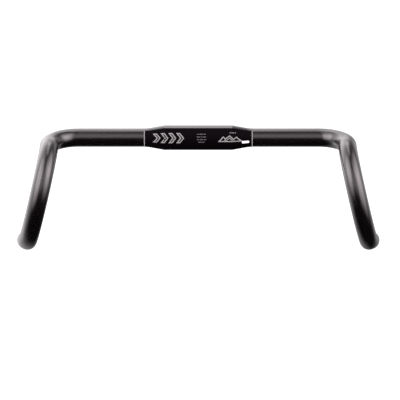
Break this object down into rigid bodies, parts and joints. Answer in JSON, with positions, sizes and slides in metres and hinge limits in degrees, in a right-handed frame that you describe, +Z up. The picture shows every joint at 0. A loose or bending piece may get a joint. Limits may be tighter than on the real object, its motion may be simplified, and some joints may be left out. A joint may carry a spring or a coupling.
{
  "type": "drop handlebar",
  "caption": "Flared bicycle drop handlebar: one bent, butted alloy tube with a clamp bulge and a locking expander plug in each end.",
  "frame": {"origin": "centre of the clamp bulge, on its axis", "axes": "+X along the tops to the rider's left hand, -Y to the front of the bike, +Z up with the drops level"},
  "size_m": [0.4692, 0.1421, 0.1598],
  "materials": {
    "satin_black_alloy": "black anodised, satin",
    "moulded_cap": "finely textured moulding",
    "seal_rubber": "moulded rubber",
    "zinc_steel": "zinc plated, turned",
    "nylon_sleeve": "moulded nylon",
    "bare_alloy": "turned, bare"
  },
  "bodies": {
    "bar": {"bar_tube": "satin_black_alloy"},
    "left_plug": {"left_plug_cap": "moulded_cap", "left_plug_seal": "seal_rubber", "left_plug_washer": "zinc_steel", "left_expander_sleeve": "nylon_sleeve"},
    "left_screw": {"left_plug_screw": "zinc_steel"},
    "left_wedge": {"left_wedge_nut": "bare_alloy"},
    "right_plug": {"right_plug_cap": "moulded_cap", "right_plug_seal": "seal_rubber", "right_plug_washer": "zinc_steel", "right_expander_sleeve": "nylon_sleeve"},
    "right_screw": {"right_plug_screw": "zinc_steel"},
    "right_wedge": {"right_wedge_nut": "bare_alloy"}
  },
  "joints": [
    {"name": "left_plug_pull", "type": "slide", "parent": "bar", "child": "left_plug", "axis": [0.0723, 0.9974, 0], "range_m": [0, 0.035]},
    {"name": "left_screw_turn", "type": "hinge", "parent": "left_plug", "child": "left_screw", "pos_m": [0.22272, 0.0479, -0.132], "axis": [0.0723, 0.9974, 0], "range_deg": [0, 1440]},
    {"name": "left_wedge_travel", "type": "slide", "parent": "left_plug", "child": "left_wedge", "axis": [-0.0723, -0.9974, 0], "range_m": [0, 0.0032]},
    {"name": "right_plug_pull", "type": "slide", "parent": "bar", "child": "right_plug", "axis": [-0.0723, 0.9974, 0], "range_m": [0, 0.035]},
    {"name": "right_screw_turn", "type": "hinge", "parent": "right_plug", "child": "right_screw", "pos_m": [-0.22272, 0.0479, -0.132], "axis": [-0.0723, 0.9974, 0], "range_deg": [0, 1440]},
    {"name": "right_wedge_travel", "type": "slide", "parent": "right_plug", "child": "right_wedge", "axis": [0.0723, -0.9974, 0], "range_m": [0, 0.0032]}
  ],
  "couplings": [
    {"joint": "left_screw_turn", "follows": "left_wedge_travel", "rad_per_m": 7854},
    {"joint": "right_screw_turn", "follows": "right_wedge_travel", "rad_per_m": 7854}
  ]
}
